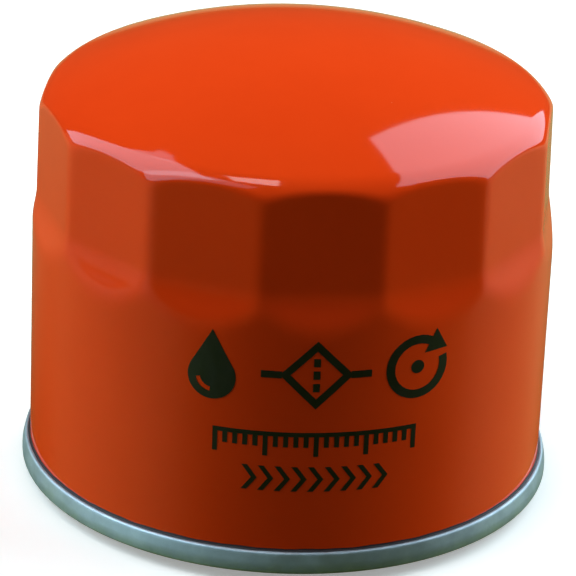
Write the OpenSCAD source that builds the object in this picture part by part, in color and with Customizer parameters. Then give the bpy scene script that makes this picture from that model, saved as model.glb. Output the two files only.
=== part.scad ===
// Spin-on oil filter for a small engine, standing on its gasket with the closed end up.
// Origin: centre of the gasket's sealing face. +Z runs up the axis to the dome, and -Y is
// the printed front. Everything is in millimetres.

/* [Can] */
// Outside diameter of the can
can_d = 68; // [67:0.5:70]
// Height from the sealing face to the top of the dome
height = 60.4; // [59.4:0.1:61.2]
// Thickness of the can's steel sheet
can_sheet = 0.32; // [0.28:0.02:0.36]
// Height at which the wall starts to curve into the shoulder
shoulder_z = 48.5; // [48:0.1:49.2]
// Radius of the shoulder
shoulder_r = 5.8; // [5:0.1:6.4]

/* [Wrench flats] */
// Number of flats that a cap wrench grips
flats = 14; // [12:1:16]
// Distance across the flats at their upper end
flats_top = 65; // [64.6:0.1:65.4]
// Distance across the flats at their lower end
flats_low = 65.6; // [65.4:0.1:66]
// Height of the lower end of the flats
flats_z = 38.8; // [38:0.1:40]
// Height over which the flats run out into the round wall
runout = 4.6; // [4:0.1:5.4]

/* [Rolled rim] */
// Height of the double seam
rim_h = 2.9; // [2.8:0.05:3.1]
// How far the gasket stands out below the rim
gasket_proud = 1.4; // [1.2:0.1:1.6]
// Thickness of the lid's steel sheet
lid_sheet = 0.32; // [0.28:0.02:0.36]

/* [Mounting face] */
// Inside diameter of the gasket
gasket_id = 55; // [54.6:0.1:55.4]
// Outside diameter of the gasket
gasket_od = 62.2; // [61.8:0.1:62.4]
// Height of the gasket
gasket_h = 4.4; // [4.2:0.1:4.6]
// Minor diameter of the 3/4-16 UNF thread
thread_minor_d = 17.5; // [17.3:0.05:17.7]
// Thickness of the base plate
plate_t = 2.6; // [2.4:0.1:3]
// Length of the hub from the plate's underside
hub_h = 10.6; // [10:0.1:11]
// Number of oil inlet holes
inlets = 8; // [6:1:8]
// Diameter of an inlet hole
inlet_d = 6.6; // [6:0.1:6.8]

/* [Element] */
// Diameter over the pleats
pleat_od = 58.4; // [57:0.1:59]
// Diameter inside the pleats
pleat_id = 30.8; // [30.4:0.1:31.4]
// Number of pleats
pleats = 42; // [36:1:44]
// Thickness of the filter paper
paper_t = 0.6; // [0.5:0.05:0.7]
// Height of the upper end cap's top face
element_top = 46.4; // [46:0.1:46.8]

/* [Valves] */
// Travel of the bypass disc
bypass_travel = 2.5; // [1:0.1:3]
// Travel of the anti-drain lip
lip_travel = 1.2; // [0.5:0.1:1.4]
// Diameter of the bypass spring's wire
wire_d = 0.9; // [0.7:0.05:1]

/* [Hidden] */
$fn = 96;
fit_gap = 0.02;          // clearance between sheets that are pressed together
can_r = can_d / 2;
rim_z = gasket_proud;
rim_top = rim_z + rim_h;
stamped = 0.4;           // sheet of the element's tinplate parts

// Stack of heights, from the gasket up
lid_floor = gasket_h + fit_gap;
plate_z = lid_floor + lid_sheet + fit_gap;
plate_top = plate_z + plate_t;
hub_top = plate_z + hub_h;
flange_z = hub_top + 0.2;
flange_t = 1.4;
low_cap_z = flange_z + flange_t;
potting_t = 1;
media_z = low_cap_z + stamped + potting_t + 2 * fit_gap;
media_top = element_top - stamped - potting_t - 2 * fit_gap;

// Radii of the base plate and hub
plate_r = 31.2;
hub_r = 11.9;
inlet_circle_r = 17.4;
mouth_round = 1.5;       // rounding of the thread's mouth
weld_r = 23.6;
welds = 6;

// Dome: a sphere that is tangent to the shoulder
shoulder_x = can_r - shoulder_r;
crown_h = height - shoulder_z;
dome_r = (pow(shoulder_x, 2) + pow(crown_h, 2) - pow(shoulder_r, 2)) / (2 * (crown_h - shoulder_r));
dome_z = height - dome_r;
crown_angle = asin(shoulder_x / (dome_r - shoulder_r));

// Seam: four layers of sheet, from the can's wall out to the rim, three where the skirt leans in
hook_x = can_r + lid_sheet + 2 * fit_gap;
skirt_x = hook_x + can_sheet + fit_gap;
cover_hook_mid = can_r + fit_gap + lid_sheet / 2;
skirt_mid = skirt_x + lid_sheet / 2;
can_turn_r = (hook_x + can_sheet / 2 - (can_r - can_sheet / 2)) / 2;
can_turn_z = rim_z + lid_sheet + fit_gap + can_turn_r + can_sheet / 2;
lid_turn_r = lid_sheet / 2 + 0.03;
lid_turn_x = cover_hook_mid + lid_turn_r;
lid_turn_z = rim_top - lid_turn_r - lid_sheet / 2;
// The skirt leans in above lean_z: a line that is tangent to an arc there and to the top turn
lean_r = 1;
lean_z = rim_z + 1.35;
lean_x = skirt_mid - lean_r;
lean = asin((lean_r - lid_turn_r) / norm([lid_turn_x - lean_x, lid_turn_z - lean_z]))
       - atan2(lid_turn_x - lean_x, lid_turn_z - lean_z);
hook_tip_z = lean_z + 0.15;

// Element
cap_r = pleat_od / 2 + 1;
tube_r = 14.6;           // outside of the centre tube
cap_bore = 12.3;
cap_rim = 3;

// Bypass valve, hung inside the centre tube
seat_z = element_top - stamped - fit_gap;
seat_r = tube_r - stamped - 0.4;
port_r = 5.2;
seat_lip_z = seat_z - 1.4;
seal_t = 0.65;
disc_t = 0.68;
disc_r = 7.6;
disc_z = seat_lip_z - 0.05 - seal_t - disc_t;
cage_r = 9;
coil_r = 5;
coils = 5.5;
cage_z = disc_z - bypass_travel - coils * wire_d - 0.25;

// ---- outlines ----

// Points on an arc about c, from angle a0 to a1
function arc(c, r, a0, a1, n = 6) =
    [for (i = [0:n]) let (a = a0 + (a1 - a0) * i / max(n, 1)) c + r * [cos(a), sin(a)]];

// One side of a bent sheet. Each bend is [centre, mid-line radius, start angle, end angle],
// in the order in which the sheet runs. A radius of 0 marks an end of the sheet, with the
// direction of its left side as both angles.
function sheet_side(bends, t, left) =
    [for (b = bends)
        let (turn = b[1] == 0 ? -1 : sign(b[3] - b[2]))
        each arc(b[0], b[1] - left * turn * t / 2, b[2], b[3], b[1] == 0 ? 0 : 5)];

function reverse(list) = [for (i = [len(list) - 1:-1:0]) list[i]];

// Section of a sheet of thickness t that follows the bends
module sheet(bends, t) {
    polygon(concat(sheet_side(bends, t, 1), reverse(sheet_side(bends, t, -1))));
}

// A ring of rectangular section
module ring(r_in, r_out, z_low, z_high) {
    rotate_extrude()
        translate([r_in, z_low])
            square([r_out - r_in, z_high - z_low]);
}

// ---- can and rim ----

// The can as a solid, shrunk by inset on its round wall, shoulder, dome and flats
module can_form(inset, foot) {
    wall = can_r - inset;
    difference() {
        rotate_extrude()
            polygon(concat([[0, foot], [wall, foot]],
                           arc([shoulder_x, shoulder_z], shoulder_r - inset, 0, 90 - crown_angle, 8),
                           arc([0, dome_z], dome_r - inset, 90 - crown_angle, 90, 6)));
        for (i = [0:flats - 1])
            rotate(i * 360 / flats - 90)
                translate([-inset, 0, 0])
                    flat_cutter();
    }
}

// Takes away what lies outside one wrench flat and its run-out
module flat_cutter() {
    top_z = shoulder_z + shoulder_r;
    lean = (flats_top - flats_low) / 2 / (top_z - flats_z);
    reach = can_r + 8;
    low = flats_low / 2;
    rotate([90, 0, 0])
        linear_extrude(height = can_r, center = true)
            polygon([[low, flats_z],
                     [low + lean * (height + 5 - flats_z), height + 5],
                     [reach, height + 5],
                     [reach, flats_z - runout * (reach - low) / (can_r - low)]]);
}

// Drawn can: dome, flats and wall, with its foot hooked outwards and up into the seam
module can() {
    hook_mid = hook_x + can_sheet / 2;
    color([0.87, 0.25, 0.06]) {
        difference() {
            can_form(0, can_turn_z);
            can_form(can_sheet, can_turn_z - 1);
        }
        rotate_extrude()
            sheet([[[can_r - can_sheet / 2, can_turn_z], 0, 0, 0],
                   [[hook_mid - can_turn_r, can_turn_z], can_turn_r, 180, 360],
                   [[hook_mid, hook_tip_z], 0, 180, 180]], can_sheet);
    }
}

// Thin steel lid: gasket groove, flat flange under the base plate, and the rolled rim
module seaming_lid() {
    mid_z = lid_floor + lid_sheet / 2;
    bend = 0.4;
    rib = 0.5;
    corner = 0.32;
    groove_out = gasket_od / 2 + 0.2 + lid_sheet / 2;
    groove_in = gasket_id / 2 - 0.12 - lid_sheet / 2;
    base = rim_z + lid_sheet / 2;
    color([0.66, 0.69, 0.72])
        difference() {
            rotate_extrude()
                sheet([[[cover_hook_mid, can_turn_z + 0.16], 0, 180, 180],
                       [[lid_turn_x, lid_turn_z], lid_turn_r, 180, lean],
                       [[lean_x, lean_z], lean_r, lean, 0],
                       [[skirt_mid - corner, base + corner], corner, 0, -90],
                       [[groove_out + 0.6, base + 0.6], 0.6, -90, -180],
                       [[groove_out - bend, mid_z - bend], bend, 0, 90],
                       [[groove_in + bend, mid_z - bend], bend, 90, 180],
                       [[groove_in - rib, rim_z + 1.2], rib, 0, -180],
                       [[groove_in - 2 * rib - bend, mid_z - bend], bend, 0, 90],
                       [[21.6, mid_z], 0, -90, -90]], lid_sheet);
            for (i = [0:welds - 1])
                rotate(i * 360 / welds)
                    translate([weld_r, 0, lid_floor - 1])
                        cylinder(r = 1.6, h = 1.12);
        }
}

// Lining compound that fills the two pockets inside the seam
module seam_sealant() {
    color([0.16, 0.15, 0.15]) {
        ring(hook_x, hook_x + 0.2, hook_tip_z + 0.04, hook_tip_z + 0.2);
        ring(can_r + 0.04, can_r + lid_sheet, can_turn_z - 0.08, can_turn_z + 0.14);
    }
}

// ---- mounting face ----

// Thick tapping plate: inlet holes around an extruded hub that carries the thread
module base_plate() {
    bore = thread_minor_d / 2;
    root = 1.4;
    color([0.62, 0.63, 0.64])
        difference() {
            rotate_extrude()
                polygon(concat(arc([bore + mouth_round, plate_z + mouth_round], mouth_round, 180, 270),
                               [[plate_r - 0.5, plate_z],
                                [plate_r, plate_z + 0.5],
                                [plate_r, plate_top - 0.3],
                                [plate_r - 0.3, plate_top]],
                               arc([hub_r + root, plate_top + root], root, 270, 180),
                               [[hub_r, hub_top - 0.6],
                                [hub_r - 0.6, hub_top],
                                [bore + 0.5, hub_top],
                                [bore, hub_top - 0.5]]));
            for (i = [0:inlets - 1])
                rotate(i * 360 / inlets)
                    translate([inlet_circle_r, 0, plate_z - 1])
                        cylinder(d = inlet_d, h = plate_t + 2);
        }
}

// Nitrile ring with rounded edges, held in the lid's groove
module mounting_gasket() {
    round_r = 0.6;
    low = round_r;
    high = gasket_h - round_r;
    inner = gasket_id / 2 + round_r;
    outer = gasket_od / 2 - round_r;
    color([0.09, 0.09, 0.1])
        rotate_extrude()
            polygon(concat(arc([outer, low], round_r, -90, 0),
                           arc([outer, high], round_r, 0, 90),
                           arc([inner, high], round_r, 90, 180),
                           arc([inner, low], round_r, 180, 270)));
}

// ---- anti-drain valve ----

// Rubber sleeve around the hub, with the flange that the element stands on
module anti_drain_collar() {
    sleeve = 13.6;
    color([0.2, 0.19, 0.18])
        rotate_extrude()
            polygon([[hub_r + 0.05, plate_top + 3],
                     [sleeve, plate_top + 3],
                     [sleeve, flange_z],
                     [16.5, flange_z],
                     [16.5, low_cap_z - fit_gap],
                     [hub_r + 0.05, low_cap_z - fit_gap]]);
}

// Rubber skirt whose rim lies on the plate outside the inlet holes
module anti_drain_lip() {
    root = 13.75;
    rim = 24.2;
    top = flange_z - lip_travel - 1.4;
    foot = plate_top + 0.05;
    color([0.2, 0.19, 0.18])
        rotate_extrude()
            polygon([[root, top],
                     [root, top - 1.4],
                     [rim - 2, foot],
                     [rim, foot],
                     [rim, foot + 0.7]]);
}

// ---- filter element ----

// Stamped disc with a rim of height cap_rim, turned up
module end_cap(bore) {
    bend = 0.6;
    mid = stamped / 2;
    rotate_extrude()
        sheet([[[bore, mid], 0, 90, 90],
               [[cap_r - mid - bend, mid + bend], bend, -90, 0],
               [[cap_r - mid, cap_rim], 0, 180, 180]], stamped);
}

module lower_end_cap() {
    color([0.72, 0.72, 0.7])
        translate([0, 0, low_cap_z])
            end_cap(cap_bore);
}

module upper_end_cap() {
    color([0.72, 0.72, 0.7])
        translate([0, 0, element_top])
            mirror([0, 0, 1])
                end_cap(9.5);
}

// Cured adhesive that bonds the ends of the pleats into the lower cap
module lower_potting() {
    color([0.85, 0.78, 0.55])
        ring(tube_r + 0.1, cap_r - stamped - 0.9, low_cap_z + stamped + fit_gap, media_z - fit_gap);
}

// Cured adhesive that bonds the ends of the pleats into the upper cap
module upper_potting() {
    color([0.85, 0.78, 0.55])
        ring(tube_r + 0.1, cap_r - stamped - 0.9, media_top + fit_gap, element_top - stamped - fit_gap);
}

// A point at radius r, at distance across from the middle of a pleat at angle a
function pleat_point(r, across, a) = r * [cos(a), sin(a)] + across * [-sin(a), cos(a)];

// Closed zigzag: crests of half width crest at r_out, valleys of half width valley at r_in
function zigzag(r_out, crest, r_in, valley) =
    [for (i = [0:pleats - 1])
        let (a = i * 360 / pleats, half = 180 / pleats)
        each [pleat_point(r_out, -crest, a), pleat_point(r_out, crest, a),
              pleat_point(r_in, -valley, a + half), pleat_point(r_in, valley, a + half)]];

crest_half = 0.95;
valley_half = 0.8;

// Pleated paper, one closed folded sheet
module filter_media() {
    r_out = pleat_od / 2;
    r_in = pleat_id / 2;
    color([0.93, 0.88, 0.7])
        translate([0, 0, media_z])
            linear_extrude(height = media_top - media_z)
                difference() {
                    polygon(zigzag(r_out, crest_half, r_in + paper_t, valley_half - paper_t));
                    polygon(zigzag(r_out - paper_t, crest_half - paper_t, r_in, valley_half));
                }
}

// Folded steel strip that joins the two ends of the paper over one crest
module media_seam_clip() {
    strip = 0.3;
    inner = crest_half + 0.05;
    depth = 3.6;
    crest_r = pleat_od / 2 + 0.05;
    color([0.7, 0.7, 0.72])
        translate([0, 0, media_z + 0.5])
            difference() {
                translate([crest_r - depth, -inner - strip, 0])
                    cube([depth + strip, 2 * (inner + strip), media_top - media_z - 1]);
                translate([crest_r - depth - 1, -inner, -1])
                    cube([depth + 1, 2 * inner, media_top - media_z + 1]);
            }
}

// Perforated steel tube that holds the pleats against the oil pressure
module centre_tube() {
    low = low_cap_z + stamped + fit_gap;
    high = element_top - stamped - fit_gap;
    rows = 5;
    across = 4;
    first = low + 3.4;
    pitch = 4.2;
    color([0.7, 0.7, 0.72])
        difference() {
            ring(tube_r - stamped, tube_r, low, high);
            for (row = [0:rows - 1], i = [0:across - 1])
                translate([0, 0, first + row * pitch])
                    rotate([0, 90, (i + 0.25 + (row % 2) / 2) * 180 / across])
                        cylinder(d = 3, h = 3 * tube_r, center = true);
        }
}

// ---- bypass valve ----

// Stamped seat under the upper cap, with a lip turned down around the port
module bypass_seat() {
    sheet_t = 0.5;
    bend = 0.6;
    mid = sheet_t / 2;
    color([0.75, 0.74, 0.7])
        rotate_extrude()
            sheet([[[seat_r, seat_z - mid], 0, -90, -90],
                   [[port_r + mid + bend, seat_z - mid - bend], bend, 90, 180],
                   [[port_r + mid, seat_lip_z], 0, 0, 0]], sheet_t);
}

// Rubber washer that closes the port
module bypass_seal() {
    color([0.12, 0.12, 0.12])
        ring(3, 7.3, disc_z + disc_t + 0.01, disc_z + disc_t + seal_t);
}

// Steel disc with a boss for the washer above and one for the spring below
module bypass_disc() {
    boss_low = 1;
    color([0.74, 0.74, 0.76])
        rotate_extrude()
            polygon([[0, disc_z - boss_low],
                     [3.2, disc_z - boss_low],
                     [3.9, disc_z],
                     [disc_r, disc_z],
                     [disc_r, disc_z + disc_t],
                     [2.95, disc_z + disc_t],
                     [2.95, disc_z + disc_t + seal_t],
                     [0, disc_z + disc_t + seal_t]]);
}

// Coil spring with closed ends, swept as a tube along its wire
module bypass_spring() {
    closed = 1;
    sides = 8;
    steps = 22;
    low = cage_z + stamped + wire_d / 2 + 0.02;
    high = disc_z - wire_d / 2 - 0.02;
    lay = 1.04 * wire_d;
    rings = coils * steps;
    function rise(turn) =
        turn < closed ? turn * lay
        : turn > coils - closed ? high - low - (coils - turn) * lay
        : lay * closed + (high - low - 2 * lay * closed) * (turn - closed) / (coils - 2 * closed);
    points = [for (k = [0:rings])
        let (turn = k / steps, a = 360 * turn)
        for (s = [0:sides - 1])
            let (b = 360 * s / sides, r = coil_r + wire_d / 2 * cos(b))
            [r * cos(a), r * sin(a), low + rise(turn) + wire_d / 2 * sin(b)]];
    skin = [for (k = [0:rings - 1], s = [0:sides - 1])
        let (a = k * sides, t = (s + 1) % sides)
        [a + s, a + sides + s, a + sides + t, a + t]];
    color([0.55, 0.57, 0.6])
        polyhedron(points, concat(skin,
                                  [[for (s = [0:sides - 1]) s]],
                                  [[for (s = [sides - 1:-1:0]) rings * sides + s]]));
}

// Cup that carries the spring, with windows for the oil
module bypass_cage() {
    bend = 0.6;
    mid = stamped / 2;
    top = seat_z - 0.5 - fit_gap;
    windows = 4;
    color([0.75, 0.74, 0.7])
        difference() {
            rotate_extrude()
                sheet([[[seat_r, top - mid], 0, -90, -90],
                       [[cage_r - mid + bend, top - mid - bend], bend, 90, 180],
                       [[cage_r - mid - bend, cage_z + mid + bend], bend, 0, -90],
                       [[2.2, cage_z + mid], 0, -90, -90]], stamped);
            for (i = [0:windows - 1])
                rotate(i * 360 / windows)
                    translate([cage_r - 2, -3.6, cage_z + 1.6])
                        cube([4, 7.2, 5.2]);
        }
}

// ---- hold-down spring ----

// Stamped leaf spring: a flat ring on the upper cap and legs that press on the dome
module hold_down_spring() {
    leaf = 0.5;
    mid = leaf / 2;
    floor_z = element_top + fit_gap;
    legs = 4;
    leg_w = 7;
    bend = 2;
    foot = [16, floor_z + mid + bend];
    top_x = 22.6;
    dome_gap = 0.12;         // keeps the corners of the flat leaves off the curved dome
    reach = dome_r - can_sheet - dome_gap - mid - bend;
    top = [top_x, dome_z + sqrt(pow(reach, 2) - pow(top_x, 2))];
    span = top - foot;
    slope = atan2(span[1], span[0]) + asin(2 * bend / norm(span));
    color([0.5, 0.53, 0.58]) {
        ring(10.4, 15.2, floor_z, floor_z + leaf);
        for (i = [0:legs - 1])
            rotate(45 + i * 360 / legs)
                rotate([90, 0, 0])
                    linear_extrude(height = leg_w, center = true)
                        sheet([[[13, floor_z + mid], 0, 90, 90],
                               [foot, bend, -90, slope - 90],
                               [top, bend, 90 + slope, 60],
                               [top + [2.4, 0.6], 0, 60, 60]], leaf);
    }
}

can();
seaming_lid();
seam_sealant();
base_plate();
mounting_gasket();
anti_drain_collar();
anti_drain_lip();
lower_end_cap();
lower_potting();
filter_media();
media_seam_clip();
centre_tube();
upper_potting();
upper_end_cap();
bypass_seat();
bypass_seal();
bypass_disc();
bypass_spring();
bypass_cage();
hold_down_spring();
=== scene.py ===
"""Looks of the spin-on oil filter: its visible pieces as fine meshes, materials, light and camera.

Everything is in metres in the CAD's frame: origin at the centre of the gasket's sealing face, +Z up
to the dome, and -Y through the printed front.
"""

import math

import bmesh
import bpy
import numpy as np
from mathutils import Matrix, Vector


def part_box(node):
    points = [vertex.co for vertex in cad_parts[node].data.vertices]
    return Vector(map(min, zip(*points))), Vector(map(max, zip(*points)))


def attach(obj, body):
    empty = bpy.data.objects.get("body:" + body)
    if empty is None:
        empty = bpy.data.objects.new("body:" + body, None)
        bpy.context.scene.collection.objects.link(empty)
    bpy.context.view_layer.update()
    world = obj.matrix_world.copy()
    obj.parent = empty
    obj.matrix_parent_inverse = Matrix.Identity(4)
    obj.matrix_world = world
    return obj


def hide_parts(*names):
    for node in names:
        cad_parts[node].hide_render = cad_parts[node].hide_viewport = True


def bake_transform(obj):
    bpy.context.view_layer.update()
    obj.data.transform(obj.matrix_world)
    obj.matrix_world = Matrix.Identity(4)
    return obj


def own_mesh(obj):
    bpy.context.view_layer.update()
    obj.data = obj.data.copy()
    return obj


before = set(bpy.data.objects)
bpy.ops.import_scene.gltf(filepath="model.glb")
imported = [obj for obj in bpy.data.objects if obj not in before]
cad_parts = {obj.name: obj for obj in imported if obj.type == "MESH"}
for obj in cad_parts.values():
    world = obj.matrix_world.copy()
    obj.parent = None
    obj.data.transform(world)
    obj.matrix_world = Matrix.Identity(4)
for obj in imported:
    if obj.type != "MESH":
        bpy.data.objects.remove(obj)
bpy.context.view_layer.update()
MM = 0.001
BODY = "filter_body"


# ---------------------------------------------------------------- sizes, from the frame


def radii(node):
    """Radius and height of every vertex of a CAD node, in millimetres."""
    points = np.array([v.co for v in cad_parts[node].data.vertices]) / MM
    return np.hypot(points[:, 0], points[:, 1]), points[:, 2]


def span(node):
    """Lowest and highest z of a CAD node, in millimetres."""
    low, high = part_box(node)
    return low.z / MM, high.z / MM


def widest(node, z_low=-math.inf):
    """Largest radius of a CAD node from a height up, in millimetres."""
    r, z = radii(node)
    return float(r[z >= z_low].max())


def narrowest(node):
    """Smallest radius of a CAD node, in millimetres."""
    return float(radii(node)[0].min())


# Rim and wall
RIM_Z = span("seaming_lid")[0]
RIM_R = widest("seaming_lid")
LID_R, LID_Z = radii("seaming_lid")
RIM_TOP = float(LID_Z[LID_R > RIM_R - 1].max())
TOP_Z = span("can")[1]
CAN_R = widest("can", RIM_TOP + 1)
SHEET = 0.32
LAYER_GAP = 0.02         # between two touching pieces
HOOK_TOP = 1.5           # how far the can's hooked foot reaches above the rim's foot

# Shoulder, dome and wrench flats. The run-out is softer than the CAD's
SHOULDER_R = 5.8
SHOULDER_Z = 48.5
FLATS = 14
FLAT_TOP = 65.0 / 2
FLAT_LOW = 65.6 / 2
FLAT_Z = 38.8
RUNOUT_LOW = 31.0        # the flats have run out into the round wall at this height
RUNOUT_TOP = 39.6        # and are full from this height up
RUNOUT_LIFT = 0.5        # how far the flats' planes end outside the round wall
CORNER_SOFT = 0.4        # how far the corner between two flats is rounded off
EDGE_SOFT = 0.4          # how far the edge between a flat and the round form is rounded off
COLUMNS_PER_FLAT = 26    # mesh columns of the can across each flat

# Mounting face
PLATE_Z, HUB_TOP = span("base_plate")
PLATE_R = widest("base_plate")
PLATE_THICK = 2.6
PLATE_TOP = PLATE_Z + PLATE_THICK
HUB_R = 11.9
BORE_R = narrowest("base_plate")
THREAD_LEAD = 0.35       # how far the thread's two ends open out
LEAD_R = BORE_R + THREAD_LEAD
THREAD_R = 19.05 / 2     # 3/4 inch, 16 turns to the inch
PITCH = 25.4 / 16
INLETS = 8
INLET_R = 3.3
INLET_CIRCLE = 17.4
GASKET_H = span("mounting_gasket")[1]
GASKET_IN = narrowest("mounting_gasket")
GASKET_OUT = widest("mounting_gasket")
LID_FLOOR = GASKET_H + LAYER_GAP
WELDS = 6
WELD_CIRCLE = 23.6

# Foot of the element
CAP_LOW_Z = span("lower_end_cap")[0]


# ---------------------------------------------------------------- mesh tools


def arc(cx, cz, r, start, end, steps=8):
    """Points (r, z) on an arc about (cx, cz), angles in degrees."""
    angles = np.radians(np.linspace(start, end, steps + 1))
    return [(cx + r * math.cos(a), cz + r * math.sin(a)) for a in angles]


def bent_sheet(bends, thick):
    """Closed outline of a sheet. Each bend is (cx, cz, mid-line radius, start, end) in the order in
    which the sheet runs; a radius of 0 marks an end, with the direction of its left side twice."""
    sides = []
    for left in (1, -1):
        side = []
        for cx, cz, r, start, end in bends:
            turn = -1 if r == 0 else math.copysign(1, end - start)
            side += arc(cx, cz, r - left * turn * thick / 2, start, end, 0 if r == 0 else 8)
        sides.append(side)
    return sides[0] + sides[1][::-1]


def finer(outline, longest):
    """The closed outline with its long straight stretches divided."""
    points = []
    for (r0, z0), (r1, z1) in zip(outline, outline[1:] + outline[:1]):
        parts = max(1, math.ceil(math.hypot(r1 - r0, z1 - z0) / longest))
        points += [(r0 + (r1 - r0) * i / parts, z0 + (z1 - z0) * i / parts) for i in range(parts)]
    return points


def grid_mesh(points, wrap_rows):
    """bmesh of a grid of points, rows x columns x 3, closed round its columns. wrap_rows closes
    it round its rows too."""
    bm = bmesh.new()
    rows, columns = points.shape[:2]
    verts = [bm.verts.new(p * MM) for p in points.reshape(-1, 3)]
    for i in range(rows if wrap_rows else rows - 1):
        for j in range(columns):
            low, high = i * columns, (i + 1) % rows * columns
            across = (j + 1) % columns
            corners = (low + j, low + across, high + across, high + j)
            bm.faces.new([verts[k] for k in corners])
    bmesh.ops.remove_doubles(bm, verts=bm.verts, dist=1e-7)
    bmesh.ops.dissolve_degenerate(bm, edges=bm.edges, dist=1e-8)
    return bm


def lathe_points(outline, columns, wobble=None):
    """Grid of points of an outline turned about Z. wobble(r, z, angle) may move r and z."""
    angles = np.linspace(0, 2 * math.pi, columns, endpoint=False)
    r = np.array([p[0] for p in outline])[:, None] + 0 * angles
    z = np.array([p[1] for p in outline])[:, None] + 0 * angles
    if wobble:
        r, z = wobble(r, z, angles[None, :] + 0 * r)
    return np.stack([r * np.cos(angles), r * np.sin(angles), z], axis=-1)


def add_mesh(bm, other):
    """Adds the faces of another bmesh, and frees that one."""
    spare = bpy.data.meshes.new("spare")
    other.to_mesh(spare)
    other.free()
    bm.from_mesh(spare)
    bpy.data.meshes.remove(spare)


def to_object(bm, name, material, crease=35):
    """Object from a bmesh, smooth except at edges sharper than crease degrees."""
    bmesh.ops.recalc_face_normals(bm, faces=bm.faces)
    limit = math.radians(crease)
    for face in bm.faces:
        face.smooth = True
    for edge in bm.edges:
        edge.smooth = len(edge.link_faces) == 2 and edge.calc_face_angle(0) < limit
    mesh = bpy.data.meshes.new(name)
    bm.to_mesh(mesh)
    bm.free()
    mesh.materials.append(material)
    obj = bpy.data.objects.new(name, mesh)
    bpy.context.scene.collection.objects.link(obj)
    return obj


def lathe(name, outline, material, columns, longest=None, wobble=None):
    """Object of revolution about Z from a closed outline of (r, z) points in millimetres."""
    if longest:
        outline = finer(outline, longest)
    return to_object(grid_mesh(lathe_points(outline, columns, wobble), True), name, material)


def place(piece, slot, *nodes, body=BODY):
    """The piece rides on a body and stands for CAD nodes. The slot is not used."""
    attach(piece, body)
    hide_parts(*nodes)


# ---------------------------------------------------------------- materials

# Each pair holds the darker and the lighter colour of a surface
ENAMEL = (0.87, 0.044, 0.0030), (0.93, 0.051, 0.0038)
ZINC_PLATE = (0.37, 0.405, 0.425), (0.49, 0.53, 0.55)
SHEET_STEEL = (0.42, 0.43, 0.44), (0.62, 0.63, 0.64)
TIN_PLATE = (0.52, 0.51, 0.48), (0.72, 0.71, 0.68)
BLUED_STEEL = (0.20, 0.23, 0.28), (0.36, 0.40, 0.46)
RESIN_PAPER = (0.62, 0.46, 0.22), (0.86, 0.74, 0.46)
AMBER = (0.50, 0.33, 0.11), (0.68, 0.50, 0.22)
BLACK_INK = (0.003, 0.004, 0.003), (0.012, 0.010, 0.008)
PALE_FLOOR = (0.98, 0.89, 0.79), (1.0, 0.91, 0.81)
DARK_TABLE = (0.125, 0.145, 0.018), (0.145, 0.165, 0.022)
# Dust specks on the enamel
DUST = (0.85, 0.42, 0.30)
# Sockets of a Map Range node, in the order in which both ramps take their numbers
RANGE_SOCKETS = "From Min", "From Max", "To Min", "To Max"


class Nodes:
    """A material's node tree with short ways to add nodes and links."""

    def __init__(self, name):
        self.material = bpy.data.materials.new(name)
        self.material.use_nodes = True
        self.tree = self.material.node_tree
        self.shader = self.tree.nodes["Principled BSDF"]
        self.where = self.add("ShaderNodeTexCoord").outputs["Object"]

    def add(self, kind, **settings):
        node = self.tree.nodes.new(kind)
        for key, value in settings.items():
            setattr(node, key, value)
        return node

    def link(self, source, target):
        self.tree.links.new(source, target)

    def base(self, **values):
        """Sets the shader's own sockets, with spaces in their names written as underscores."""
        for key, value in values.items():
            self.shader.inputs[key.replace("_", " ")].default_value = value

    def stretched(self, x, y, z):
        """Coordinates scaled by x, y and z."""
        node = self.add("ShaderNodeMapping")
        node.inputs["Scale"].default_value = (x, y, z)
        self.link(self.where, node.inputs["Vector"])
        return node.outputs["Vector"]

    def noise(self, scale, detail=3.0, rough=0.5, where=None):
        node = self.add("ShaderNodeTexNoise")
        node.inputs["Scale"].default_value = scale
        node.inputs["Detail"].default_value = detail
        node.inputs["Roughness"].default_value = rough
        self.link(where or self.where, node.inputs["Vector"])
        return node.outputs["Fac"]

    def cells(self, scale):
        node = self.add("ShaderNodeTexVoronoi")
        node.inputs["Scale"].default_value = scale
        self.link(self.where, node.inputs["Vector"])
        return node.outputs["Distance"]

    def ramp(self, value, low, high, dark, light):
        """Maps value from low..high to dark..light, which are both numbers or both colours."""
        colour = isinstance(dark, tuple)
        if colour:
            node = self.add("ShaderNodeValToRGB")
            first, last = node.color_ramp.elements
            first.position, last.position = low, high
            first.color, last.color = (*dark, 1), (*light, 1)
            self.link(value, node.inputs[0])
            return node.outputs["Color"]
        node = self.add("ShaderNodeMapRange")
        for key, number in zip(RANGE_SOCKETS, (low, high, dark, light)):
            node.inputs[key].default_value = number
        self.link(value, node.inputs["Value"])
        return node.outputs["Result"]

    def mix(self, amount, a, b):
        """Mixes two colours by a mask."""
        node = self.add("ShaderNodeMix", data_type="RGBA")
        self.link(amount, node.inputs["Factor"])
        for socket, value in ((node.inputs[6], a), (node.inputs[7], b)):
            if isinstance(value, tuple):
                socket.default_value = (*value, 1)
            else:
                self.link(value, socket)
        return node.outputs[2]

    def product(self, a, b):
        """Product of two values."""
        node = self.add("ShaderNodeMath", operation="MULTIPLY")
        self.link(a, node.inputs[0])
        self.link(b, node.inputs[1])
        return node.outputs[0]

    def bump(self, height, depth, strength, below=None):
        """Bump of that depth in metres, laid over another bump."""
        node = self.add("ShaderNodeBump")
        node.inputs["Strength"].default_value = strength
        node.inputs["Distance"].default_value = depth
        self.link(height, node.inputs["Height"])
        if below:
            self.link(below, node.inputs["Normal"])
        return node.outputs["Normal"]

    def to(self, socket, value):
        self.link(value, self.shader.inputs[socket])


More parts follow.
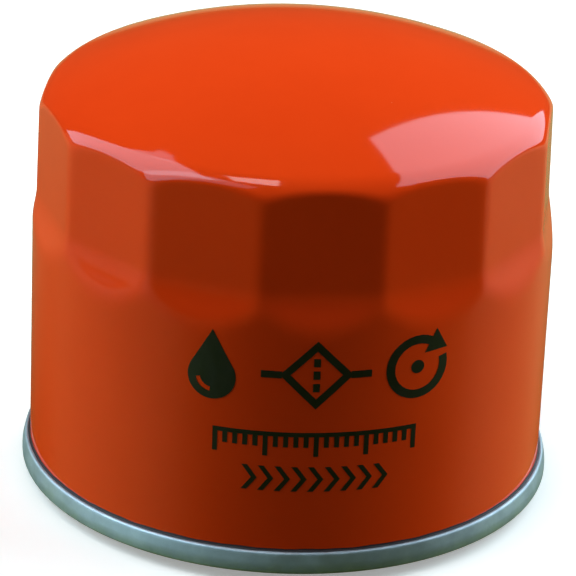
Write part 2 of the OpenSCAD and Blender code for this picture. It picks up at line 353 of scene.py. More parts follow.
def paint_material():
    """Glossy baked orange enamel: slight orange peel, uneven colour and a few specks of dust."""
    m = Nodes("orange_enamel")
    m.base(Coat_Weight=0.72, Coat_Roughness=0.055, Coat_IOR=1.5, Specular_IOR_Level=0.0)
    cloud = m.noise(38, 4, 0.55)
    colour = m.ramp(cloud, 0.3, 0.7, *ENAMEL)
    speck = m.ramp(m.cells(420), 0.035, 0.06, 1.0, 0.0)
    rare = m.ramp(m.noise(90, 2), 0.66, 0.70, 0.0, 1.0)
    m.to("Base Color", m.mix(m.product(speck, rare), colour, DUST))
    m.to("Roughness", m.ramp(m.noise(150, 3), 0.3, 0.7, 0.36, 0.44))
    peel = m.bump(m.noise(900, 2, 0.5), 0.000004, 0.35)
    wave = m.bump(m.noise(60, 2, 0.4), 0.00003, 0.10, peel)
    m.to("Normal", wave)
    coat = m.bump(m.noise(700, 2, 0.5), 0.000003, 0.20)
    m.to("Coat Normal", coat)
    return m.material


def zinc_material():
    """Dull zinc plate with a bluish cast, rolling marks along the rim and small blotches."""
    m = Nodes("zinc_plate")
    m.base(Metallic=1.0)
    blotch = m.noise(260, 5, 0.6)
    m.to("Base Color", m.ramp(blotch, 0.32, 0.68, *ZINC_PLATE))
    m.to("Roughness", m.ramp(m.noise(420, 4, 0.6), 0.3, 0.7, 0.54, 0.66))
    rolled = m.stretched(1, 1, 12)
    marks = m.bump(m.noise(700, 4, 0.6, rolled), 0.00002, 0.25)
    m.to("Normal", m.bump(m.noise(1500, 3), 0.00001, 0.35, marks))
    return m.material


def steel_material(name, colours, rough, oil=False):
    """Plain pressed steel: grain, faint scuffs and, if oil is set, a thin wet film."""
    m = Nodes(name)
    m.base(Metallic=1.0)
    if oil:
        m.base(Coat_Weight=0.25, Coat_Roughness=0.15)
    m.to("Base Color", m.ramp(m.noise(170, 5, 0.6), 0.3, 0.7, *colours))
    m.to("Roughness", m.ramp(m.noise(300, 4, 0.65), 0.3, 0.7, rough, rough + 0.16))
    turned = m.bump(m.noise(500, 4, 0.6, m.stretched(1, 1, 6)), 0.00002, 0.3)
    m.to("Normal", m.bump(m.noise(1800, 2), 0.000008, 0.3, turned))
    return m.material


def rubber_material(name, shade, rough, tint=(1, 1, 1)):
    """Moulded rubber: almost black, faint bloom and a fine matt grain."""
    m = Nodes(name)
    m.base(Specular_IOR_Level=0.4)
    dark = tuple(shade * t for t in tint)
    m.to("Base Color", m.ramp(m.noise(120, 5, 0.6), 0.35, 0.75, dark, tuple(1.9 * c for c in dark)))
    m.to("Roughness", m.ramp(m.noise(500, 4), 0.3, 0.7, rough, rough + 0.14))
    m.to("Normal", m.bump(m.noise(2600, 3), 0.00002, 0.4))
    return m.material


def paper_material():
    """Resin-treated filter paper: fibres, a warm cast and fine ribs."""
    m = Nodes("filter_paper")
    m.base(Roughness=0.85)
    fibre = m.noise(900, 6, 0.7, m.stretched(1, 1, 0.35))
    m.to("Base Color", m.ramp(fibre, 0.3, 0.75, *RESIN_PAPER))
    wave = m.add("ShaderNodeTexWave", bands_direction="Z")
    wave.inputs["Scale"].default_value = 190
    m.link(m.where, wave.inputs["Vector"])
    m.to("Normal", m.bump(wave.outputs["Fac"], 0.00008, 0.5, m.bump(fibre, 0.00005, 0.4)))
    return m.material


def adhesive_material():
    """Cured plastisol: slightly glossy, amber, with small bubbles."""
    m = Nodes("plastisol")
    m.base(Roughness=0.35, Subsurface_Weight=0.1)
    m.to("Base Color", m.ramp(m.noise(300, 3), 0.3, 0.7, *AMBER))
    bubbles = m.ramp(m.cells(900), 0.1, 0.35, 0.0, 1.0)
    m.to("Normal", m.bump(bubbles, 0.00006, 0.5))
    return m.material


def ink_material():
    """Black screen-printing ink, a little thinner at some spots."""
    m = Nodes("black_ink")
    m.base(Coat_Weight=0.6, Coat_Roughness=0.08)
    m.to("Base Color", m.ramp(m.noise(500, 4), 0.3, 0.75, *BLACK_INK))
    m.to("Roughness", m.ramp(m.noise(800, 3), 0.3, 0.7, 0.30, 0.45))
    m.to("Normal", m.bump(m.noise(1800, 2), 0.000006, 0.4))
    return m.material


def floor_material():
    """Plain pale studio floor."""
    m = Nodes("pale_floor")
    m.base(Roughness=0.9, Specular_IOR_Level=0.0)
    m.base(Emission_Color=(1, 1, 1, 1), Emission_Strength=0.30)
    m.to("Base Color", m.ramp(m.noise(3, 2), 0.3, 0.7, *PALE_FLOOR))
    return m.material


def table_material():
    """Dark green-grey table with a satin surface, and painted light: a glow behind the filter."""
    m = Nodes("table")
    m.base(Roughness=0.5, Metallic=1.0, Specular_IOR_Level=0.3)
    m.base(Emission_Color=(0.62, 1.0, 0.50, 1))
    m.to("Base Color", m.ramp(m.noise(6, 2), 0.3, 0.7, *DARK_TABLE))
    apart = m.add("ShaderNodeSeparateXYZ")
    m.link(m.where, apart.inputs[0])
    # Painted light: the table glows behind the filter, standing for the lamps' light on it there,
    # and stays dark in front and far off.
    rises = m.ramp(apart.outputs["Y"], 0.0, 0.16, 0.0, 0.42)
    fades = m.ramp(apart.outputs["Y"], 0.3, 0.7, 1.0, 0.15)
    m.to("Emission Strength", m.product(rises, fades))
    return m.material


def glowing_material(name, colour, brightness):
    """Plain black surface that sends out light."""
    m = Nodes(name)
    m.base(Base_Color=(0, 0, 0, 1), Specular_IOR_Level=0.0)
    m.base(Emission_Color=(*colour, 1), Emission_Strength=brightness)
    return m.material


def backdrop_material():
    """White screen that glows by itself."""
    return glowing_material("backdrop", (1, 1, 1), 0.95)


PAINT = paint_material()
ZINC = zinc_material()
PLATE_STEEL = steel_material("plate_steel", SHEET_STEEL, 0.24, oil=True)
TINPLATE = steel_material("tinplate", TIN_PLATE, 0.28)
SPRING_STEEL = steel_material("spring_steel", BLUED_STEEL, 0.30)
NITRILE = rubber_material("nitrile", 0.010, 0.38)
VALVE_RUBBER = rubber_material("valve_rubber", 0.018, 0.55)
# Dark maroon compound, partly its own colour and partly painted shade: its line beside the wall
# stands for the shaded crevice under the rolled rim.
COMPOUND_AND_SHADE = rubber_material("lining_compound", 0.005, 0.50, (2.4, 0.8, 0.9))
PAPER = paper_material()
ADHESIVE = adhesive_material()
INK = ink_material()


# ---------------------------------------------------------------- can


def soft_min(a, b, width):
    """The smaller of a and b, blended where they differ by less than width."""
    overlap = np.maximum(width - np.abs(a - b), 0)
    return np.minimum(a, b) - overlap**2 / (4 * width)


def smooth(t):
    """0 to 1 with level ends."""
    t = np.clip(t, 0, 1)
    return t * t * (3 - 2 * t)


def flat_distance(z, inset):
    """Distance of the wrench flats from the axis at height z. Below FLAT_Z they run out."""
    top = SHOULDER_Z + SHOULDER_R
    along = FLAT_LOW + (FLAT_TOP - FLAT_LOW) * (z - FLAT_Z) / (top - FLAT_Z)
    out = 1 - smooth((z - RUNOUT_LOW) / (RUNOUT_TOP - RUNOUT_LOW))
    return along + out * (CAN_R + RUNOUT_LIFT - along) - inset


def can_wall(r, z, angle, inset):
    """Radius of the can where its round form has radius r: the round form cut by the flats."""
    half = math.pi / FLATS
    from_middle = np.abs((angle + math.pi / 2 + half) % (2 * half) - half)
    near = flat_distance(z, inset) / np.cos(from_middle)
    beside = flat_distance(z, inset) / np.cos(2 * half - from_middle)
    cut = soft_min(near, beside, CORNER_SOFT)
    return np.where(z > RUNOUT_LOW, soft_min(r, cut, EDGE_SOFT), r)


def dome_profile(inset, steps):
    """Round form of the can above the plain wall, from the wall to the axis."""
    across = CAN_R - SHOULDER_R
    crown = TOP_Z - SHOULDER_Z
    dome_r = (across**2 + crown**2 - SHOULDER_R**2) / (2 * (crown - SHOULDER_R))
    tangent = 90 - math.degrees(math.asin(across / (dome_r - SHOULDER_R)))
    points = [(CAN_R - inset, z) for z in np.linspace(RUNOUT_LOW, SHOULDER_Z, 4 * steps)]
    points += arc(across, SHOULDER_Z, SHOULDER_R - inset, 0, tangent, 2 * steps)[1:]
    points += arc(0, TOP_Z - dome_r, dome_r - inset, tangent, 90, steps)[1:]
    return points


def can():
    """Drawn can with soft-edged flats, its foot hooked outwards and up inside the seam."""
    hook_mid = CAN_R + 1.5 * SHEET + 2 * LAYER_GAP
    turn_r = (hook_mid - (CAN_R - SHEET / 2)) / 2
    turn_x = hook_mid - turn_r
    turn_z = RIM_Z + 1.5 * SHEET + LAYER_GAP + turn_r
    tip_z = RIM_Z + HOOK_TOP
    outside = [(hook_mid - SHEET / 2, tip_z)] + arc(turn_x, turn_z, turn_r - SHEET / 2, 360, 180)
    outside += [(CAN_R, z) for z in np.linspace(turn_z + 1, RUNOUT_LOW - 1, 9)]
    outside += dome_profile(0, 12)
    inside = [(hook_mid + SHEET / 2, tip_z)] + arc(turn_x, turn_z, turn_r + SHEET / 2, 360, 180)
    inside += [(CAN_R - SHEET, z) for z in np.linspace(turn_z + 1, RUNOUT_LOW - 1, 3)]
    inside += dome_profile(SHEET, 6)
    columns = FLATS * COLUMNS_PER_FLAT
    outer = lathe_points(outside, columns, lambda r, z, a: (can_wall(r, z, a, 0), z))
    inner = lathe_points(inside, columns, lambda r, z, a: (can_wall(r, z, a, SHEET), z))
    bm = grid_mesh(np.concatenate([outer[::-1], inner]), False)
    piece = to_object(bm, "can_shell", PAINT, crease=50)
    place(piece, "orange_paint", "can")


can()


# ---------------------------------------------------------------- rim and mounting face


def lid():
    """Steel lid: flange with weld marks, gasket groove with its rib, and the rolled rim."""
    flange_in, flange_out = 21.6, 25.9
    bend, step, rib, corner = 0.4, 0.6, 0.5, 0.32      # radii of the sheet's middle at its bends
    rib_z = RIM_Z + 1.2
    fold_gap = 0.03
    gap_out, gap_in = 0.2, 0.12                        # room beside the gasket in its groove
    lean_r, lean_up = 4.0, 0.8                         # how the rim leans in above its foot
    mid_z = LID_FLOOR + SHEET / 2
    fold_r = SHEET + LAYER_GAP
    cover = CAN_R + LAYER_GAP + SHEET / 2
    skirt = RIM_R - SHEET / 2
    turn_r = SHEET / 2 + fold_gap
    turn_x, turn_z = cover + turn_r, RIM_TOP - turn_r - SHEET / 2
    lean_x, lean_z = skirt - lean_r, RIM_Z + lean_up
    off_x, off_z = turn_x - lean_x, turn_z - lean_z
    lean = math.asin((lean_r - turn_r) / math.hypot(off_x, off_z)) - math.atan2(off_x, off_z)
    lean = math.degrees(lean)
    groove_out = GASKET_OUT + gap_out + SHEET / 2
    groove_in = GASKET_IN - gap_in - SHEET / 2
    base = RIM_Z + SHEET / 2
    outline = bent_sheet(
        [
            (cover, RIM_Z + 3 * fold_r, 0, 180, 180),
            (turn_x, turn_z, turn_r, 180, lean),
            (lean_x, lean_z, lean_r, lean, 0),
            (skirt - corner, base + corner, corner, 0, -90),
            (groove_out + step, base + step, step, -90, -180),
            (groove_out - bend, mid_z - bend, bend, 0, 90),
            (groove_in + bend, mid_z - bend, bend, 90, 180),
            (groove_in - rib, rib_z, rib, 0, -180),
            (groove_in - 2 * rib - bend, mid_z - bend, bend, 0, 90),
            (flange_in, mid_z, 0, -90, -90),
        ],
        SHEET,
    )

    dent_deep, dent_r, dent_soft = 0.16, 1.1, 0.7
    ring_high, ring_r, ring_wide = 0.05, 2.1, 0.35

    def welded(r, z, angle):
        """Presses the round marks of the spot welds into the flange, on its outer side."""
        turn = 2 * math.pi / WELDS
        off = (angle + turn / 2) % turn - turn / 2
        away = np.hypot(r * np.cos(off) - WELD_CIRCLE, r * np.sin(off))
        dent = dent_deep * (1 - smooth((away - dent_r) / dent_soft))
        ring = ring_high * np.exp(-(((away - ring_r) / ring_wide) ** 2))
        underside = (np.abs(z - LID_FLOOR) < 0.01) & (r < flange_out)
        return r, z + np.where(underside, dent - ring, 0)

    piece = lathe("rolled_lid", outline, ZINC, 288, longest=0.4, wobble=welded)
    place(piece, "zinc_plate", "seaming_lid")


def sealant():
    """Lining compound: two beads in the seam, and a thin uneven line beside the wall that is partly
    squeezed-out compound and partly painted shade in the crevice under the rim.
    """
    turn_low = span("seam_sealant")[0]
    r_all, z_all = radii("seam_sealant")
    top_low = float(z_all[r_all > CAN_R + 0.5].min())

    def uneven(r, z, angle):
        swell = 0.03 * np.sin(23 * angle) + 0.03 * np.sin(51 * angle + 1)
        return r, z + np.where(z > RIM_TOP - 0.5, swell, 0)

    # Partly painted shade: a dark bead of squeezed-out compound laid in the crevice between the
    # wall and the rolled rim, where shade falls.
    wall = [(CAN_R + 0.005, RIM_TOP - 0.3), (CAN_R + 0.2, RIM_TOP - 0.12)]
    wall += [(CAN_R + 0.27, RIM_TOP - 0.01), (CAN_R + 0.2, RIM_TOP + 0.05)]
    wall += [(CAN_R + 0.08, RIM_TOP + 0.12), (CAN_R + 0.005, RIM_TOP + 0.3)]
    columns = 192
    bm = grid_mesh(lathe_points(finer(wall, 0.12), columns, uneven), True)
    for low, high, inner, outer in (
        (top_low, top_low + 0.16, CAN_R + SHEET + 0.05, CAN_R + SHEET + 0.23),
        (turn_low, turn_low + 0.22, CAN_R + 0.04, CAN_R + SHEET),
    ):
        bead = [(inner, low), (outer, low), (outer, high), (inner, high)]
        add_mesh(bm, grid_mesh(lathe_points(finer(bead, 0.2), columns), True))
    piece = to_object(bm, "seam_compound_and_shade", COMPOUND_AND_SHADE)
    place(piece, "lining_compound", "seam_sealant")


def gasket():
    """Gasket: rounded square ring with two fine sealing ridges on its face and a moulding line."""
    soft = 0.6
    line_z, line_half, line_high = 2.2, 0.1, 0.05
    line = ((line_z - line_half, 0), (line_z, line_high), (line_z + line_half, 0))
    ridge_off = 0.6
    ridge_shape = ((-0.25, 0.0), (-0.12, 0.09), (0.12, 0.09), (0.25, 0.0))
    outline = arc(GASKET_OUT - soft, soft, soft, -90, 0)
    outline += [(GASKET_OUT + proud, z) for z, proud in line]
    outline += arc(GASKET_OUT - soft, GASKET_H - soft, soft, 0, 90)
    outline += arc(GASKET_IN + soft, GASKET_H - soft, soft, 90, 180)
    outline += [(GASKET_IN - proud, z) for z, proud in line[::-1]]
    outline += arc(GASKET_IN + soft, soft, soft, 180, 270)
    middle = (GASKET_IN + GASKET_OUT) / 2
    for ridge in (middle - ridge_off, middle + ridge_off):
        outline += [(ridge + x, z) for x, z in ridge_shape]
    piece = lathe("gasket_ring", outline, NITRILE, 240)
    place(piece, "nitrile", "mounting_gasket")


def cut_holes(piece, count, circle, radius, z_low, z_high):
    """Cuts round holes parallel to Z through a piece."""
    bm = bmesh.new()
    for i in range(count):
        turn = Matrix.Rotation(2 * math.pi * i / count, 4, "Z")
        at = turn @ Matrix.Translation((circle * MM, 0, (z_low + z_high) / 2 * MM))
        depth, r = (z_high - z_low) * MM, radius * MM
        bmesh.ops.create_cone(bm, cap_ends=True, segments=48, radius1=r, radius2=r, depth=depth,
                              matrix=at)
    mesh = bpy.data.meshes.new("drill")
    bm.to_mesh(mesh)
    bm.free()
    drill = bpy.data.objects.new("drill", mesh)
    bpy.context.scene.collection.objects.link(drill)
    apply_boolean(piece, drill)


def apply_boolean(piece, tool):
    """Takes the tool out of the piece, and deletes the tool."""
    cut = piece.modifiers.new("cut", "BOOLEAN")
    cut.operation = "DIFFERENCE"
    cut.solver = "EXACT"
    cut.object = tool
    graph = bpy.context.evaluated_depsgraph_get()
    mesh = bpy.data.meshes.new_from_object(piece.evaluated_get(graph))
    piece.modifiers.clear()
    old = piece.data
    piece.data = mesh
    bpy.data.meshes.remove(old)
    bpy.data.objects.remove(tool, do_unlink=True)


def thread_rows(columns, z_low, z_high):
    """Rows of a helical internal thread from z_low up to z_high, as a rows x columns x 3 grid. The
    rows follow the helix, and are pressed flat where they pass an end."""
    per_turn = 16
    half_root, flank = 1 / 16, 5 / 16      # in pitches
    fade = 0.45 * PITCH
    shape = []
    for k in range(per_turn):
        u = k / per_turn
        rise = min(max((abs(u - 0.5) - half_root) / flank, 0), 1)
        shape.append(THREAD_R - (THREAD_R - BORE_R) * rise)
    turns = math.ceil((z_high - z_low) / PITCH) + 1
    grid = []
    for i in range(turns * per_turn + 1):
        row = []
        for j in range(columns):
            z = z_low + (i / per_turn - j / columns) * PITCH
            near_end = min(z - z_low, z_high - z) / fade
            r = shape[i % per_turn]
            r = LEAD_R + (r - BORE_R - THREAD_LEAD) * min(max(near_end, 0), 1)
            z = min(max(z, z_low), z_high)
            a = -2 * math.pi * j / columns
            row.append((r * math.cos(a), r * math.sin(a), z))
        grid.append(row)
    return grid, per_turn


def helix_mesh(columns, z_low, z_high):
    """bmesh of the thread's wall. Its last column joins the first one a turn higher."""
    grid, per_turn = thread_rows(columns, z_low, z_high)
    bm = bmesh.new()
    verts = [[bm.verts.new(Vector(p) * MM) for p in row] for row in grid]
    for i in range(len(grid) - 1):
        for j in range(columns):
            if j < columns - 1:
                corner = (verts[i][j], verts[i][j + 1], verts[i + 1][j + 1], verts[i + 1][j])
            elif i >= per_turn:
                under = i - per_turn
                corner = (verts[i][j], verts[under][0], verts[under + 1][0], verts[i + 1][j])
            else:
                continue
            bm.faces.new(corner)
    return bm


def plate():
    """Tapping plate: pressed disc, inlet holes, and a hub with a real thread."""
    columns = 120
    mouth, root = 1.5, 1.4
    edge_low, edge_top, edge_hub = 0.5, 0.3, 0.6
    low_rings, top_rings = (12.6, 21.6, 25.0, 29.0), (27.0, 22.0)      # keep the faces short
    thread_low = PLATE_Z + mouth
    thread_high = HUB_TOP - 0.5
    outline = [(LEAD_R, thread_low)]
    outline += arc(BORE_R + mouth, thread_low, mouth - THREAD_LEAD, 180, 240, 4)[1:]
    outline += arc(BORE_R + mouth, thread_low, mouth, 250, 270, 3)
    outline += [(BORE_R + mouth + 0.8, PLATE_Z)]
    outline += [(r, PLATE_Z) for r in low_rings]
    outline += arc(PLATE_R - edge_low, PLATE_Z + edge_low, edge_low, -90, 0, 4)
    outline += arc(PLATE_R - edge_top, PLATE_TOP - edge_top, edge_top, 0, 90, 4)
    outline += [(r, PLATE_TOP) for r in top_rings]
    outline += arc(HUB_R + root, PLATE_TOP + root, root, 270, 180, 6)
    outline += arc(HUB_R - edge_hub, HUB_TOP - edge_hub, edge_hub, 0, 90, 4)
    outline += [(LEAD_R + 0.5, HUB_TOP), (LEAD_R, thread_high)]
    bm = grid_mesh(lathe_points(outline, columns), False)
    add_mesh(bm, helix_mesh(columns, thread_low, thread_high))
    bmesh.ops.remove_doubles(bm, verts=bm.verts, dist=2e-6)
    bmesh.ops.dissolve_degenerate(bm, edges=bm.edges, dist=1e-7)
    piece = to_object(bm, "tapping_plate", PLATE_STEEL, crease=40)
    cut_holes(piece, INLETS, INLET_CIRCLE, INLET_R, PLATE_Z - 1, PLATE_TOP + 1)
    place(piece, "plate_steel", "base_plate")


lid()
sealant()
gasket()
plate()


# ---------------------------------------------------------------- print on the front

PRINT_GAP = 0.012        # the ink lies this far off the wall's facets
INK_THICK = 0.03
MARK_Z = 28.7            # heights of the middles of the three printed rows
SCALE_Z = 19.2
ARROWS_Z = 14.4
DROP_X, DROP_Z = -13.4, MARK_Z - 1.1
SIGN_X = -0.3
TURN_X = 12.8
CHEVRONS = 9
CHEVRON_X = -9.2         # the first chevron
CHEVRON_STEP = 2.08


def bar(x, z, wide, high):
    """Outline of an upright rectangle about (x, z)."""
    return [(x - wide / 2, z - high / 2), (x + wide / 2, z - high / 2),
            (x + wide / 2, z + high / 2), (x - wide / 2, z + high / 2)]


def ring_part(x, z, inner, outer, start, end, steps=28):
    """Outline of a stretch of a flat ring between two angles in degrees."""
    return arc(x, z, outer, start, end, steps) + arc(x, z, inner, end, start, steps)


def drop(x, z, r, high):
    """Outline of an oil drop: round below, and drawn out to a tip above its centre."""
    touch = math.degrees(math.acos(r / high))
    return arc(x, z, r, 90 + touch, 450 - touch, 36) + [(x, z + high)]


def chevron(x, z, wide, high, line):
    """Outline of an arrow head that points to +X."""
    return [(x, z + high / 2), (x + line, z + high / 2), (x + wide + line, z),
            (x + line, z - high / 2), (x, z - high / 2), (x + wide, z)]


def filter_symbol(x, z, half, line):
    """The hydraulic sign for a filter: a diamond with a broken line across and a pipe each side."""
    inner = half - line * math.sqrt(2)
    diamond = [[(x - h, z), (x, z - h), (x + h, z), (x, z + h)] for h in (half, inner)]
    dashes = [bar(x, z + step * inner * 0.52, line * 0.9, inner * 0.34) for step in (-1, 0, 1)]
    pipes = [bar(x + side * (half + 1.0), z, 2.6, line) for side in (-1, 1)]
    return diamond + dashes + pipes


def turn_arrow(x, z, r, line):
    """A bent arrow round a dot: screw on clockwise."""
    start, end = 62, 375
    tip = math.radians(start)
    ray = Vector((math.cos(tip), math.sin(tip)))
    ahead = Vector((ray.y, -ray.x))
    head = [ray * (r - 1.5 * line), ray * (r + 1.5 * line), ray * r + ahead * 2.4 * line]
    return [
        ring_part(x, z, r - line / 2, r + line / 2, start, end),
        [(x + p.x, z + p.y) for p in head],
        arc(x, z, 0.9, 0, 345, 23),
    ]


def tick_scale(z, wide, high, count):
    """A row of ticks, every fifth one full height, hanging from a thin line."""
    step = wide / (count - 1)
    ticks = []
    for i in range(count):
        long = high if i % 5 == 0 else high * 0.62
        ticks.append(bar(-wide / 2 + i * step, z + (high - long) / 2 - 0.3, 0.62, long - 0.6))
    return ticks + [bar(0, z + high / 2 - 0.3, wide + 0.62, 0.6)]


def printed(name, loops):
    """Thin ink film wrapped round the front of the can from flat outlines (x, z) in millimetres.
    An outline inside another is a hole."""
    flat = bpy.data.curves.new(name, "CURVE")
    flat.dimensions = "2D"
    flat.fill_mode = "BOTH"
    for loop in loops:
        spline = flat.splines.new("POLY")
        spline.points.add(len(loop) - 1)
        for point, (x, z) in zip(spline.points, loop):
            point.co = (x, z, 0, 1)
        spline.use_cyclic_u = True
    shape = bpy.data.objects.new("flat_mark", flat)
    bpy.context.scene.collection.objects.link(shape)
    graph = bpy.context.evaluated_depsgraph_get()
    mesh = bpy.data.meshes.new_from_object(shape.evaluated_get(graph))
    bm = bmesh.new()
    bm.from_mesh(mesh)
    bpy.data.objects.remove(shape, do_unlink=True)
    bpy.data.curves.remove(flat)
    bpy.data.meshes.remove(mesh)
    widest_x = max(abs(v.co.x) for v in bm.verts)
    for k in range(-math.ceil(widest_x), math.ceil(widest_x) + 1):
        everything = bm.verts[:] + bm.edges[:] + bm.faces[:]
        bmesh.ops.bisect_plane(bm, geom=everything, dist=1e-5,
                               plane_co=(k, 0, 0), plane_no=(1, 0, 0))
    grown = bmesh.ops.extrude_face_region(bm, geom=bm.faces[:])
    outer = {v for v in grown["geom"] if isinstance(v, bmesh.types.BMVert)}
    for v in bm.verts:
        r = CAN_R + PRINT_GAP + (INK_THICK if v in outer else 0)
        angle = v.co.x / CAN_R
        v.co = Vector((r * math.sin(angle), -r * math.cos(angle), v.co.y)) * MM
    piece = to_object(bm, name, INK)
    place(piece, "print_ink")


printed("print_marks",
        [drop(DROP_X, DROP_Z, 3.1, 6.3), ring_part(DROP_X, DROP_Z, 1.5, 2.1, 190, 265, 8)]
        + filter_symbol(SIGN_X, MARK_Z, 4.6, 0.95)
        + turn_arrow(TURN_X, MARK_Z, 3.7, 1.15))
printed("print_scale", tick_scale(SCALE_Z, 25.4, 3.3, 21))
printed("print_arrows", [chevron(CHEVRON_X + CHEVRON_STEP * i, ARROWS_Z, 1.25, 3.4, 0.72)
                         for i in range(CHEVRONS)])


# ---------------------------------------------------------------- anti-drain valve


def drain_valve():
    """One rubber moulding: flange and sleeve round the hub, and a skirt whose lip lifts."""
    flange_low, flange_top = HUB_TOP + 0.2, CAP_LOW_Z - LAYER_GAP
    lip_low, lip_top = span("anti_drain_lip")
    rim = widest("anti_drain_lip")
    inner = HUB_R + 0.05
    flange_r, edge, chamfer = 16.1, 0.4, 0.3
    sleeve = 2.6             # how far the sleeve reaches below the flange
    neck_x, neck = 14.6, 0.8
    root_x, root = 13.2, 0.6
    outline = [(inner, flange_low - sleeve), (inner, flange_top - chamfer),
               (inner + chamfer, flange_top)]
    outline += arc(flange_r, flange_top - edge, edge, 90, 0, 4)
    outline += arc(flange_r, flange_low + edge, edge, 0, -90, 4)
    outline += arc(neck_x, flange_low - neck, neck, 90, 150, 4)
    outline += [(15.4, lip_top - 0.9), (rim - 1.2, lip_low + 0.95)]
    outline += arc(rim - edge, lip_low + edge, edge, 60, -90, 6)
    outline += [(rim - 2.2, lip_low), (rim - 2.6, lip_low + 0.12), (14.2, lip_top - 1.5)]
    outline += arc(root_x, lip_top - 1.6, root, -60, -150, 4)
    piece = lathe("drain_valve", outline, VALVE_RUBBER, 144, longest=0.8)
    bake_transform(piece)
    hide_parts("anti_drain_collar", "anti_drain_lip")


# ---------------------------------------------------------------- bypass spring

WIRE = 0.9
COIL_R = 5.0
COILS = 5.5


def bypass_spring():
    """Coil spring with closed ends."""
    foot, head = span("bypass_spring")
    low, high = foot + WIRE / 2, head - WIRE / 2
    lay = 1.04 * WIRE
    turns = np.linspace(0, COILS, int(COILS * 44) + 1)
    rise = np.interp(turns, [0, 1, COILS - 1, COILS], [0, lay, high - low - lay, high - low])
    round_wire = np.linspace(0, 2 * math.pi, 12, endpoint=False)
    angle = 2 * math.pi * turns[:, None]
    r = COIL_R + WIRE / 2 * np.cos(round_wire)[None, :]
    z = low + rise[:, None] + WIRE / 2 * np.sin(round_wire)[None, :]
    bm = grid_mesh(np.stack([r * np.cos(angle), r * np.sin(angle), z], axis=-1), False)
    bmesh.ops.holes_fill(bm, edges=[e for e in bm.edges if len(e.link_faces) == 1], sides=0)
    piece = to_object(bm, "coil_spring", SPRING_STEEL)
    place(piece, "spring_steel", "bypass_spring")
    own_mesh(piece)


drain_valve()
bypass_spring()

for node, material in {
    "lower_end_cap": TINPLATE,
    "lower_potting": ADHESIVE,
    "filter_media": PAPER,
    "media_seam_clip": TINPLATE,
    "centre_tube": TINPLATE,
    "upper_potting": ADHESIVE,
    "upper_end_cap": TINPLATE,
    "bypass_seat": TINPLATE,
    "bypass_seal": VALVE_RUBBER,
    "bypass_disc": TINPLATE,
    "bypass_cage": TINPLATE,
    "hold_down_spring": SPRING_STEEL,
}.items():
    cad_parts[node].data.materials.clear()
    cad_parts[node].data.materials.append(material)


# ---------------------------------------------------------------- studio

BACKDROP_R = 4.0
TABLE_BELOW = 0.0004     # how far the table lies under the floor
VIEW_AZIMUTH = -6.8      # degrees that the camera stands to the left of the printed front
VIEW_HEIGHT = 23.648     # degrees that it stands above the horizon
VIEW_ROLL = 2.434        # degrees that it is turned about its own axis
VIEW_DISTANCE = 13.6535  # in can radii, from the point VIEW_MIDDLE above the rim's foot
VIEW_MIDDLE = 0.8
AIM_LEFT = 0.0090        # in can radii, how far the picture's middle lies from that point
AIM_BELOW = 0.0908
SENSOR = 36              # width, and the focal length in the same millimetres
LENS = 220.84
DOME = Vector((0, 0, 0.05))
REACH = 1.6              # from the dome to the lights and reflectors
COOL = (0.76, 0.83, 1.0)
COOLER = (0.60, 0.82, 1.0)
SKY_BLUE = (0.5, 0.8, 1.0)
PALE_GREEN = (0.9, 1.0, 0.6)
WARM = (1.0, 0.88, 0.85)


def stage_piece(bm, name, material):
    """Floor or backdrop: the camera sees it, but it sends no light to the object."""
    piece = to_object(bm, name, material)
    piece.visible_diffuse = False
    piece.visible_glossy = False
    piece.visible_transmission = False
    return piece


def room():
    """Pale floor, and a white backdrop far away all round, which throws no shadow. Under the floor
    lies a table that only the filter's gloss sees, dark in front and lit behind by a painted glow."""
    ground = bmesh.new()
    bmesh.ops.create_grid(ground, x_segments=1, y_segments=1, size=BACKDROP_R)
    stage_piece(ground, "floor", floor_material()).visible_shadow = False
    under = bmesh.new()
    bmesh.ops.create_grid(under, x_segments=1, y_segments=1, size=BACKDROP_R / 2)
    bmesh.ops.translate(under, verts=under.verts, vec=(0, 0, -TABLE_BELOW))
    table = to_object(under, "table", table_material())
    table.visible_camera = False
    table.visible_shadow = False
    around = bmesh.new()
    bmesh.ops.create_uvsphere(around, u_segments=48, v_segments=24, radius=BACKDROP_R)
    stage_piece(around, "backdrop", backdrop_material()).visible_shadow = False


def camera():
    """Long lens, looking down at the filter from a little left of the printed front."""
    azimuth, elevation, roll = (math.radians(a) for a in (VIEW_AZIMUTH, VIEW_HEIGHT, VIEW_ROLL))
    unit = CAN_R * MM
    level = math.cos(elevation)
    back = Vector((math.sin(azimuth) * level, -math.cos(azimuth) * level, math.sin(elevation)))
    right = Vector((0, 0, 1)).cross(back).normalized()
    up = back.cross(right)
    middle = Vector((0, 0, RIM_Z * MM + VIEW_MIDDLE * unit))
    stand = middle + VIEW_DISTANCE * unit * back
    aim = middle - AIM_LEFT * unit * right - AIM_BELOW * unit * up
    back = (stand - aim).normalized()
    right = Vector((0, 0, 1)).cross(back).normalized()
    up = back.cross(right)
    leaned_up = up * math.cos(roll) - right * math.sin(roll)
    leaned_right = right * math.cos(roll) + up * math.sin(roll)
    data = bpy.data.cameras.new("camera")
    data.sensor_width = SENSOR
    data.lens = LENS
    data.clip_start = 0.01
    obj = bpy.data.objects.new("camera", data)
    axes = Matrix((leaned_right, leaned_up, back)).transposed()
    obj.matrix_world = Matrix.Translation(stand) @ axes.to_4x4()
    bpy.context.scene.collection.objects.link(obj)
    bpy.context.scene.camera = obj


def toward(azimuth, elevation):
    """Unit vector; azimuth in degrees from +Y towards +X."""
    a, e = math.radians(azimuth), math.radians(elevation)
    return Vector((math.sin(a) * math.cos(e), math.cos(a) * math.cos(e), math.sin(e)))


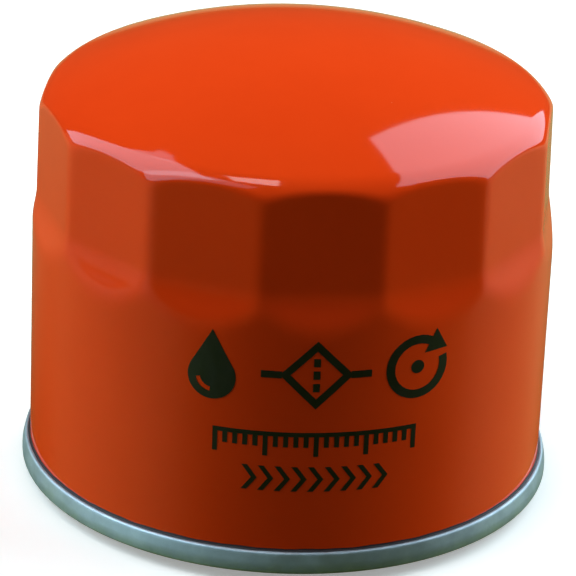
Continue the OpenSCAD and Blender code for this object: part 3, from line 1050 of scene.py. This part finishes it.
def softbox(name, corner, faces, roll, size, brightness, colour):
    """Rectangular light. corner is the direction of its far top corner from the dome; faces is the
    direction that it faces the object from; roll lifts its far end."""
    normal = toward(*faces)
    level = Vector((0, 0, 1)).cross(normal).normalized()
    if level.y < 0:
        level.negate()
    lift = normal.cross(level)
    if lift.z < 0:
        lift.negate()
    roll = math.radians(roll)
    far = level * math.cos(roll) + lift * math.sin(roll)
    high = lift * math.cos(roll) - level * math.sin(roll)
    far_axis = -far if far.cross(high).dot(normal) < 0 else far
    middle = DOME + toward(*corner) * REACH - far * size[0] / 2 - high * size[1] / 2
    data = bpy.data.lights.new(name, "AREA")
    data.shape = "RECTANGLE"
    data.size, data.size_y = size
    data.energy = brightness * math.pi * size[0] * size[1]
    data.color = colour
    obj = bpy.data.objects.new(name, data)
    axes = Matrix((far_axis, high, normal)).transposed()
    obj.matrix_world = Matrix.Translation(middle) @ axes.to_4x4()
    bpy.context.scene.collection.objects.link(obj)
    return obj


def card(name, corners, brightness, colour, lights=False):
    """Bright reflector for the gloss, its corners in these directions from the dome. With lights
    set it also lights the object."""
    bm = bmesh.new()
    bm.faces.new([bm.verts.new(DOME + toward(*corner) * REACH) for corner in corners])
    piece = to_object(bm, name, glowing_material(name, colour, brightness))
    piece.visible_camera = False
    piece.visible_diffuse = lights
    piece.visible_shadow = False


def studio_world():
    """What the gloss sees besides the lights: a dim green-grey room, darkest behind the camera."""
    world = bpy.data.worlds.new("studio")
    world.use_nodes = True
    tree = world.node_tree
    nodes, links = tree.nodes, tree.links
    where = nodes.new("ShaderNodeTexCoord")
    apart = nodes.new("ShaderNodeSeparateXYZ")
    links.new(where.outputs["Generated"], apart.inputs[0])

    def ramp(source, *numbers):
        node = nodes.new("ShaderNodeMapRange")
        node.interpolation_type = "SMOOTHSTEP"
        for key, number in zip(RANGE_SOCKETS, numbers):
            node.inputs[key].default_value = number
        links.new(source, node.inputs["Value"])
        return node.outputs["Result"]

    depth = ramp(apart.outputs["Y"], -0.9, 0.8, 0.02, 0.10)
    links.new(depth, nodes["Background"].inputs["Strength"])
    nodes["Background"].inputs["Color"].default_value = (0.80, 1.0, 0.45, 1)
    bpy.context.scene.world = world


room()
camera()
studio_world()
# Directions are azimuth and elevation in degrees, and sizes are in metres
softbox("right_softbox", (25.9, 56.8), (82, 19.3), 11.3, (1.25, 1.20), 4.1, COOLER)
softbox("left_softbox", (-45, 62.0), (-93.3, 24), 18, (0.95, 1.20), 4.6, COOLER)
card("low_card", ((-50, 15), (-95, 5), (-95, -2), (-50, -2)), 0.5, PALE_GREEN)
card("left_card", ((-29, 54), (-29, 57.7), (-50, 62.5), (-46, 50)), 2.8, SKY_BLUE)
card("near_tail", ((-88, 63.2), (-122, 67), (-126, 10), (-100, 0)), 3.4, SKY_BLUE)
card("far_tail", ((-122, 67), (-148, 64.5), (-141, 46), (-126, 10)), 1.6, SKY_BLUE)
card("strip", ((-85, 74), (-100, 86.5), (-158.6, 72.3), (-118, 70)), 7.5, WARM, lights=True)
for side, brightness in ((-1, 2.0), (1, 2.5)):
    fill = softbox("fill", (58 * side, 16), (95 * side, 0), 0, (1.5, 0.5), brightness, COOL)
    fill.visible_glossy = False
bpy.context.scene.view_settings.view_transform = "Standard"
